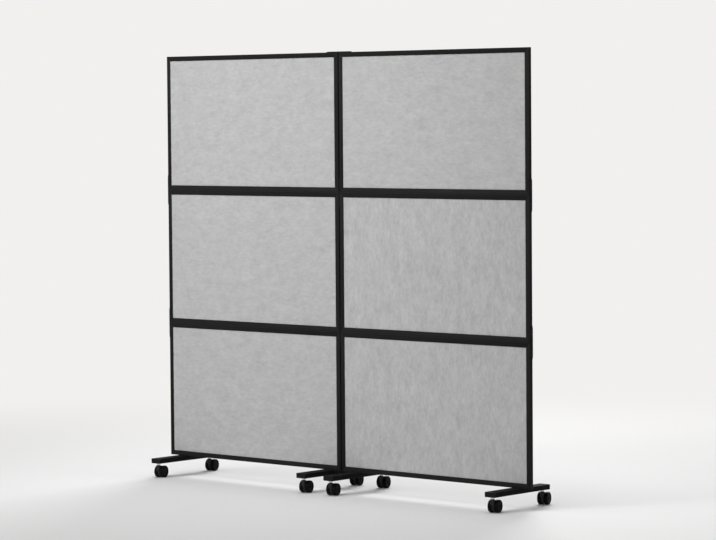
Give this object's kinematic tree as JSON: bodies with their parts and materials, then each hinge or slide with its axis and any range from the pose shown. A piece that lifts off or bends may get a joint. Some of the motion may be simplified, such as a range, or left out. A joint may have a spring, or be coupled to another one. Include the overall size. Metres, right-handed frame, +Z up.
{
  "type": "rolling office partition",
  "caption": "Free-standing rolling partition: grey felt boards in stacked black frames, on flat tube legs with twin-wheel swivel casters.",
  "frame": {"origin": "on the floor under the middle of the wall, midway between its two faces", "axes": "+X along the wall to the right seen from the front, +Y through the wall to the back, +Z up"},
  "size_m": [1.972, 0.3735, 1.7845],
  "materials": {
    "powder_coated_aluminium": "satin",
    "grey_felt": "matte",
    "powder_coated_steel": "satin",
    "blackened_steel": "satin",
    "cast_aluminium": "matte",
    "zinc_plated_steel": "satin",
    "black_nylon": "satin",
    "black_nylon_tread": "satin"
  },
  "bodies": {
    "wall": {"frame_left_bottom": "powder_coated_aluminium", "felt_left_bottom": "grey_felt", "frame_left_middle": "powder_coated_aluminium", "felt_left_middle": "grey_felt", "frame_left_top": "powder_coated_aluminium", "felt_left_top": "grey_felt", "frame_right_bottom": "powder_coated_aluminium", "felt_right_bottom": "grey_felt", "frame_right_middle": "powder_coated_aluminium", "felt_right_middle": "grey_felt", "frame_right_top": "powder_coated_aluminium", "felt_right_top": "grey_felt", "left_splice_plates": "powder_coated_steel", "right_splice_plates": "powder_coated_steel", "top_connector": "powder_coated_steel", "bottom_connector": "powder_coated_steel", "splice_screws": "blackened_steel", "connector_screws": "blackened_steel", "corner_keys": "cast_aluminium", "leg_outer_left": "powder_coated_steel", "leg_inner_left": "powder_coated_steel", "leg_inner_right": "powder_coated_steel", "leg_outer_right": "powder_coated_steel", "leg_end_caps": "black_nylon", "leg_bolts": "zinc_plated_steel", "leg_nut_plates": "zinc_plated_steel", "caster_stems": "zinc_plated_steel", "stem_nuts": "zinc_plated_steel"},
    "caster_outer_left_front": {"caster_outer_left_front_body": "black_nylon", "caster_outer_left_front_axle": "zinc_plated_steel"},
    "caster_outer_left_front_wheel_left": {"caster_outer_left_front_wheel_left": "black_nylon_tread"},
    "caster_outer_left_front_wheel_right": {"caster_outer_left_front_wheel_right": "black_nylon_tread"},
    "caster_outer_left_rear": {"caster_outer_left_rear_body": "black_nylon", "caster_outer_left_rear_axle": "zinc_plated_steel"},
    "caster_outer_left_rear_wheel_left": {"caster_outer_left_rear_wheel_left": "black_nylon_tread"},
    "caster_outer_left_rear_wheel_right": {"caster_outer_left_rear_wheel_right": "black_nylon_tread"},
    "caster_inner_left_front": {"caster_inner_left_front_body": "black_nylon", "caster_inner_left_front_axle": "zinc_plated_steel"},
    "caster_inner_left_front_wheel_left": {"caster_inner_left_front_wheel_left": "black_nylon_tread"},
    "caster_inner_left_front_wheel_right": {"caster_inner_left_front_wheel_right": "black_nylon_tread"},
    "caster_inner_left_rear": {"caster_inner_left_rear_body": "black_nylon", "caster_inner_left_rear_axle": "zinc_plated_steel"},
    "caster_inner_left_rear_wheel_left": {"caster_inner_left_rear_wheel_left": "black_nylon_tread"},
    "caster_inner_left_rear_wheel_right": {"caster_inner_left_rear_wheel_right": "black_nylon_tread"},
    "caster_inner_right_front": {"caster_inner_right_front_body": "black_nylon", "caster_inner_right_front_axle": "zinc_plated_steel"},
    "caster_inner_right_front_wheel_left": {"caster_inner_right_front_wheel_left": "black_nylon_tread"},
    "caster_inner_right_front_wheel_right": {"caster_inner_right_front_wheel_right": "black_nylon_tread"},
    "caster_inner_right_rear": {"caster_inner_right_rear_body": "black_nylon", "caster_inner_right_rear_axle": "zinc_plated_steel"},
    "caster_inner_right_rear_wheel_left": {"caster_inner_right_rear_wheel_left": "black_nylon_tread"},
    "caster_inner_right_rear_wheel_right": {"caster_inner_right_rear_wheel_right": "black_nylon_tread"},
    "caster_outer_right_front": {"caster_outer_right_front_body": "black_nylon", "caster_outer_right_front_axle": "zinc_plated_steel"},
    "caster_outer_right_front_wheel_left": {"caster_outer_right_front_wheel_left": "black_nylon_tread"},
    "caster_outer_right_front_wheel_right": {"caster_outer_right_front_wheel_right": "black_nylon_tread"},
    "caster_outer_right_rear": {"caster_outer_right_rear_body": "black_nylon", "caster_outer_right_rear_axle": "zinc_plated_steel"},
    "caster_outer_right_rear_wheel_left": {"caster_outer_right_rear_wheel_left": "black_nylon_tread"},
    "caster_outer_right_rear_wheel_right": {"caster_outer_right_rear_wheel_right": "black_nylon_tread"}
  },
  "joints": [
    {"name": "caster_outer_left_front_swivel", "type": "hinge", "parent": "wall", "child": "caster_outer_left_front", "pos_m": [-0.912, -0.153, 0.047], "axis": [0, 0, 1], "continuous": true},
    {"name": "caster_outer_left_front_wheel_left_roll", "type": "hinge", "parent": "caster_outer_left_front", "child": "caster_outer_left_front_wheel_left", "pos_m": [-0.91732, -0.13165, 0.025], "axis": [0.9703, 0.2419, 0], "continuous": true},
    {"name": "caster_outer_left_front_wheel_right_roll", "type": "hinge", "parent": "caster_outer_left_front", "child": "caster_outer_left_front_wheel_right", "pos_m": [-0.91732, -0.13165, 0.025], "axis": [0.9703, 0.2419, 0], "continuous": true},
    {"name": "caster_outer_left_rear_swivel", "type": "hinge", "parent": "wall", "child": "caster_outer_left_rear", "pos_m": [-0.912, 0.153, 0.047], "axis": [0, 0, 1], "continuous": true},
    {"name": "caster_outer_left_rear_wheel_left_roll", "type": "hinge", "parent": "caster_outer_left_rear", "child": "caster_outer_left_rear_wheel_left", "pos_m": [-0.91732, 0.17435, 0.025], "axis": [0.9703, 0.2419, 0], "continuous": true},
    {"name": "caster_outer_left_rear_wheel_right_roll", "type": "hinge", "parent": "caster_outer_left_rear", "child": "caster_outer_left_rear_wheel_right", "pos_m": [-0.91732, 0.17435, 0.025], "axis": [0.9703, 0.2419, 0], "continuous": true},
    {"name": "caster_inner_left_front_swivel", "type": "hinge", "parent": "wall", "child": "caster_inner_left_front", "pos_m": [-0.074, -0.153, 0.047], "axis": [0, 0, 1], "continuous": true},
    {"name": "caster_inner_left_front_wheel_left_roll", "type": "hinge", "parent": "caster_inner_left_front", "child": "caster_inner_left_front_wheel_left", "pos_m": [-0.07932, -0.13165, 0.025], "axis": [0.9703, 0.2419, 0], "continuous": true},
    {"name": "caster_inner_left_front_wheel_right_roll", "type": "hinge", "parent": "caster_inner_left_front", "child": "caster_inner_left_front_wheel_right", "pos_m": [-0.07932, -0.13165, 0.025], "axis": [0.9703, 0.2419, 0], "continuous": true},
    {"name": "caster_inner_left_rear_swivel", "type": "hinge", "parent": "wall", "child": "caster_inner_left_rear", "pos_m": [-0.074, 0.153, 0.047], "axis": [0, 0, 1], "continuous": true},
    {"name": "caster_inner_left_rear_wheel_left_roll", "type": "hinge", "parent": "caster_inner_left_rear", "child": "caster_inner_left_rear_wheel_left", "pos_m": [-0.07932, 0.17435, 0.025], "axis": [0.9703, 0.2419, 0], "continuous": true},
    {"name": "caster_inner_left_rear_wheel_right_roll", "type": "hinge", "parent": "caster_inner_left_rear", "child": "caster_inner_left_rear_wheel_right", "pos_m": [-0.07932, 0.17435, 0.025], "axis": [0.9703, 0.2419, 0], "continuous": true},
    {"name": "caster_inner_right_front_swivel", "type": "hinge", "parent": "wall", "child": "caster_inner_right_front", "pos_m": [0.074, -0.153, 0.047], "axis": [0, 0, 1], "continuous": true},
    {"name": "caster_inner_right_front_wheel_left_roll", "type": "hinge", "parent": "caster_inner_right_front", "child": "caster_inner_right_front_wheel_left", "pos_m": [0.06868, -0.13165, 0.025], "axis": [0.9703, 0.2419, 0], "continuous": true},
    {"name": "caster_inner_right_front_wheel_right_roll", "type": "hinge", "parent": "caster_inner_right_front", "child": "caster_inner_right_front_wheel_right", "pos_m": [0.06868, -0.13165, 0.025], "axis": [0.9703, 0.2419, 0], "continuous": true},
    {"name": "caster_inner_right_rear_swivel", "type": "hinge", "parent": "wall", "child": "caster_inner_right_rear", "pos_m": [0.074, 0.153, 0.047], "axis": [0, 0, 1], "continuous": true},
    {"name": "caster_inner_right_rear_wheel_left_roll", "type": "hinge", "parent": "caster_inner_right_rear", "child": "caster_inner_right_rear_wheel_left", "pos_m": [0.06868, 0.17435, 0.025], "axis": [0.9703, 0.2419, 0], "continuous": true},
    {"name": "caster_inner_right_rear_wheel_right_roll", "type": "hinge", "parent": "caster_inner_right_rear", "child": "caster_inner_right_rear_wheel_right", "pos_m": [0.06868, 0.17435, 0.025], "axis": [0.9703, 0.2419, 0], "continuous": true},
    {"name": "caster_outer_right_front_swivel", "type": "hinge", "parent": "wall", "child": "caster_outer_right_front", "pos_m": [0.912, -0.153, 0.047], "axis": [0, 0, 1], "continuous": true},
    {"name": "caster_outer_right_front_wheel_left_roll", "type": "hinge", "parent": "caster_outer_right_front", "child": "caster_outer_right_front_wheel_left", "pos_m": [0.90668, -0.13165, 0.025], "axis": [0.9703, 0.2419, 0], "continuous": true},
    {"name": "caster_outer_right_front_wheel_right_roll", "type": "hinge", "parent": "caster_outer_right_front", "child": "caster_outer_right_front_wheel_right", "pos_m": [0.90668, -0.13165, 0.025], "axis": [0.9703, 0.2419, 0], "continuous": true},
    {"name": "caster_outer_right_rear_swivel", "type": "hinge", "parent": "wall", "child": "caster_outer_right_rear", "pos_m": [0.912, 0.153, 0.047], "axis": [0, 0, 1], "continuous": true},
    {"name": "caster_outer_right_rear_wheel_left_roll", "type": "hinge", "parent": "caster_outer_right_rear", "child": "caster_outer_right_rear_wheel_left", "pos_m": [0.9052, 0.17392, 0.025], "axis": [0.9511, 0.309, 0], "continuous": true},
    {"name": "caster_outer_right_rear_wheel_right_roll", "type": "hinge", "parent": "caster_outer_right_rear", "child": "caster_outer_right_rear_wheel_right", "pos_m": [0.9052, 0.17392, 0.025], "axis": [0.9511, 0.309, 0], "continuous": true}
  ]
}
